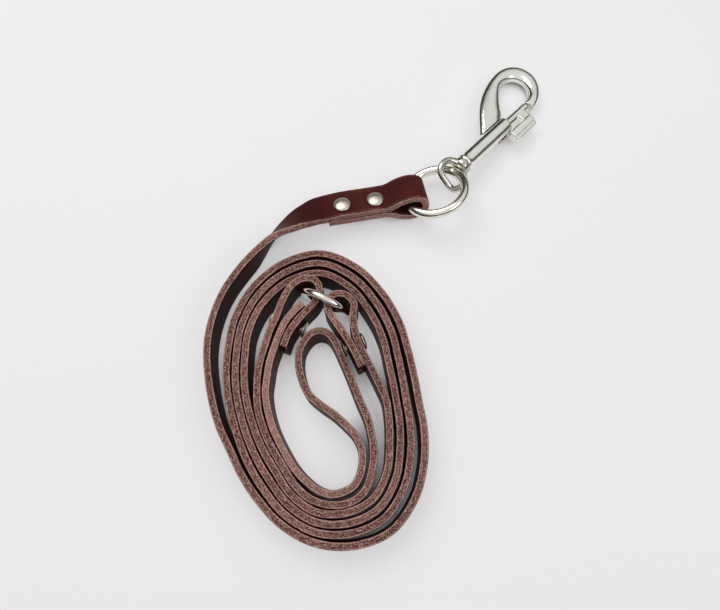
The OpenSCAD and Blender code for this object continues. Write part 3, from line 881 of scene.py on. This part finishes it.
def hook_shape():
    """The hook as one sweep from the barrel's root to the seat of the bolt's nose."""
    rows = smooth([(o[0], o[1], i[0], i[1], t) for o, i, t in HOOK], 5)
    n = HOOK_SIDES
    verts, faces = [], []
    for ox, oy, ix, iy, t in rows:
        mid = np.array([(ox + ix) / 2, (oy + iy) / 2, 0])
        half = np.array([(ox - ix) / 2, (oy - iy) / 2, 0])
        for k in range(n):
            a = 2 * math.pi * k / n
            c, s = math.cos(a), math.sin(a)
            cx = math.copysign(abs(c) ** HOOK_SQUARE, c)
            sz = math.copysign(abs(s) ** HOOK_SQUARE, s)
            verts.append(mid + half * cx + np.array([0, 0, t / 2]) * sz)
    for i in range(len(rows) - 1):
        for k in range(n):
            a, b = i * n + k, i * n + (k + 1) % n
            faces.append((a, b, b + n, a + n))
    faces.append(tuple(range(n))[::-1])
    faces.append(tuple((len(rows) - 1) * n + k for k in range(n)))
    return np.array(verts), faces


barrel = lathe([
    (0, 0), (0, 4.3), (0.25, 4.75), (0.7, 4.95), (1.6, 4.98), (2.2, 4.82), (2.8, 4.78), (20, 4.86),
    (33, 4.9), (36.2, 4.86), (36.8, 4.6), (37, 4.2), (37, 0),
], 96)
v, f = fused([barrel, hook_shape()], 0.24, 5)
# Taken out: the collar's seat, the spring's chamber, the rod's bore, and the slot that the tab runs in
bore = lathe([
    (-1, 0), (-1, 3.9), (5, 3.9), (5, 3.7), (30, 3.7), (30, 2.68), (38.5, 2.68), (38.5, 0),
], 72)
v, f = cut(v, f, [bore, block(24.5, 38.5, -6, 0, -1.65, 1.65)])
snap = add_object("snap_body_cast", snap_row(v), f, "snap", nickel_cast)
sharpen(snap, 38)
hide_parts("snap_body")

# Bolt: a rod with a rounded nose and a piston, a rib through the slot and a thumb tab with grip ridges
RIDGES, RIDGE_FROM, RIDGE_STEP = 5, 37.4, 2.4
bolt_parts = [
    rounded_block(33.2, 51, -9.6, -5.4, -2.7, 2.7, 0.7),
    rounded_block(33.6, 50.6, -11.5, -8.4, -1.9, 1.9, 0.8),
]
for k in range(RIDGES):
    x = RIDGE_FROM + k * RIDGE_STEP
    bolt_parts.append(sweep_tube([(x, -11.3, z) for z in np.linspace(-1.5, 1.5, 9)], 0.42, 12))
bolt_parts += [
    rounded_block(36.2, 49.8, -6.3, -3.6, -1.5, 1.5, 0.25),
    rounded_block(45.5, 51.6, -6.4, -0.6, -2.3, 2.3, 0.5),
    lathe([
        (20, 0), (20, 3.45), (20.2, 3.6), (22.8, 3.6), (23, 3.45), (23, 2.6), (54.6, 2.6), (55.2, 2.42),
        (55.5, 2.0), (55.6, 1.4), (55.6, 0),
    ], 56),
    rounded_block(33, 52, -4.85, 0.5, -1.5, 1.5, 0.3),
]
v, f = fused(bolt_parts, 0.17, 7)
bolt = add_object("snap_bolt_slide", snap_row(v), f, "bolt", nickel_cast)
sharpen(bolt, 45)
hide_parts("snap_bolt")

# Spring behind the bolt's piston, as short as the bolt's whole travel presses it
SPRING_TURNS, SPRING_STEPS = 5, 180
SPRING_FROM, SPRING_LENGTH, SPRING_R, SPRING_WIRE_R = 7.75, 3.0, 2.9, 0.29
coil = []
for k in range(SPRING_STEPS + 1):
    a = 2 * math.pi * SPRING_TURNS * k / SPRING_STEPS
    x = SPRING_FROM + SPRING_LENGTH * k / SPRING_STEPS
    coil.append((x, SPRING_R * math.cos(a), SPRING_R * math.sin(a)))
v, f = sweep_tube(coil, SPRING_WIRE_R, 10)
spring = add_object("bolt_spring_coil", snap_row(v), f, "snap", wire_steel)
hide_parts("bolt_spring")


# ---------------------------------------------------------------- floor, light and camera
FLOOR_HALF = 6
FLOOR_GLOW = 0.49  # lifts the paper close to white, as a sheet lit from all sides
GAP_REACH = 0.012  # metres within which a wall counts as closing off the sky
GAP_DARK, GAP_BRIGHT = 0.10, 0.40  # the part of the sky that is open, where a gap is black and where clear
floor_mat, nt, sh = new_material("pale_paper")
co = nt.nodes.new("ShaderNodeTexCoord").outputs["Object"]
tone = noise_tex(nt, co, 6, 3, 0.5)
paper = ramp(nt, tone, [(0.3, (0.335, 0.331, 0.333)), (0.7, (0.340, 0.336, 0.338))])
# The floor goes dark in the narrow gaps between two turns, where no light gets down
open_sky = node(nt, "ShaderNodeAmbientOcclusion", Distance=GAP_REACH, samples=8).outputs["AO"]
bare = gray(nt, open_sky, GAP_DARK, GAP_BRIGHT, 0.0, 1.0)
nt.links.new(mix(nt, bare, (0.03, 0.02, 0.02), paper), sh.inputs["Base Color"])
sh.inputs["Emission Color"].default_value = (1.0, 0.985, 0.992, 1)
nt.links.new(gray(nt, open_sky, GAP_DARK, GAP_BRIGHT, 0.0, FLOOR_GLOW), sh.inputs["Emission Strength"])
sh.inputs["Roughness"].default_value = 0.9
sh.inputs["Specular IOR Level"].default_value = 0.0
me = bpy.data.meshes.new("floor")
corners = [(x * FLOOR_HALF, y * FLOOR_HALF, 0) for x, y in ((-1, -1), (1, -1), (1, 1), (-1, 1))]
me.from_pydata(corners, [], [(0, 1, 2, 3)])
floor = bpy.data.objects.new("floor", me)
me.materials.append(floor_mat)
bpy.context.scene.collection.objects.link(floor)

# A white tent with a dark band low down, which the metal mirrors
world = bpy.data.worlds.new("studio")
bpy.context.scene.world = world
world.use_nodes = True
nt = world.node_tree
nt.nodes.clear()
out = nt.nodes.new("ShaderNodeOutputWorld")
bg = nt.nodes.new("ShaderNodeBackground")
nt.links.new(bg.outputs[0], out.inputs[0])
gen = nt.nodes.new("ShaderNodeTexCoord").outputs["Generated"]
sep = nt.nodes.new("ShaderNodeSeparateXYZ")
nt.links.new(gen, sep.inputs[0])
sky = ramp(nt, sep.outputs[2], [
    (0.0, (0.50, 0.50, 0.49)), (0.12, (0.26, 0.26, 0.25)), (0.28, (0.075, 0.074, 0.068)),
    (0.40, (0.14, 0.14, 0.13)), (0.55, (0.88, 0.88, 0.88)), (1.0, (1.0, 1.0, 1.0)),
])
# A dark flag low behind the object's far left, which draws the metal's outline there
leftward = maths(nt, "MULTIPLY", sep.outputs[0], -0.73)
side = maths(nt, "ADD", leftward, maths(nt, "MULTIPLY", sep.outputs[1], 0.68))
low = gray(nt, sep.outputs[2], 0.45, 0.72, 1.0, 0.0)
flag = maths(nt, "MULTIPLY", gray(nt, side, 0.30, 0.62, 0.0, 0.94), low, True)
nt.links.new(mix(nt, flag, sky, (0.05, 0.048, 0.042)), bg.inputs["Color"])
bg.inputs["Strength"].default_value = 0.84


def softbox(name, place, aim, size, power):
    """A rectangular lamp at place that faces aim."""
    data = bpy.data.lights.new(name, "AREA")
    data.shape = "RECTANGLE"
    data.size, data.size_y = size
    data.energy = power
    ob = bpy.data.objects.new(name, data)
    ob.location = place
    ob.rotation_euler = (Vector(aim) - Vector(place)).to_track_quat("-Z", "Y").to_euler()
    bpy.context.scene.collection.objects.link(ob)


softbox("key", (-0.30, 0.40, 0.80), (-0.02, 0, 0), (0.8, 0.6), 4.4)
softbox("fill", (0.6, -0.25, 0.6), (0, 0, 0), (0.5, 0.4), 1.0)

cam_data = bpy.data.cameras.new("camera")
cam = bpy.data.objects.new("camera", cam_data)
cam.location = (-0.0137, -0.10665, 0.266)
cam.rotation_euler = (rad(15), 0, 0)  # tilted 15 degrees from looking straight down
cam_data.sensor_width = 36
cam_data.lens = 27.35
cam_data.shift_y = 43 / 720  # a small shift, as a part of the frame's width
cam_data.clip_start = 0.01
bpy.context.scene.collection.objects.link(cam)
bpy.context.scene.camera = cam
bpy.context.scene.view_settings.view_transform = "Standard"
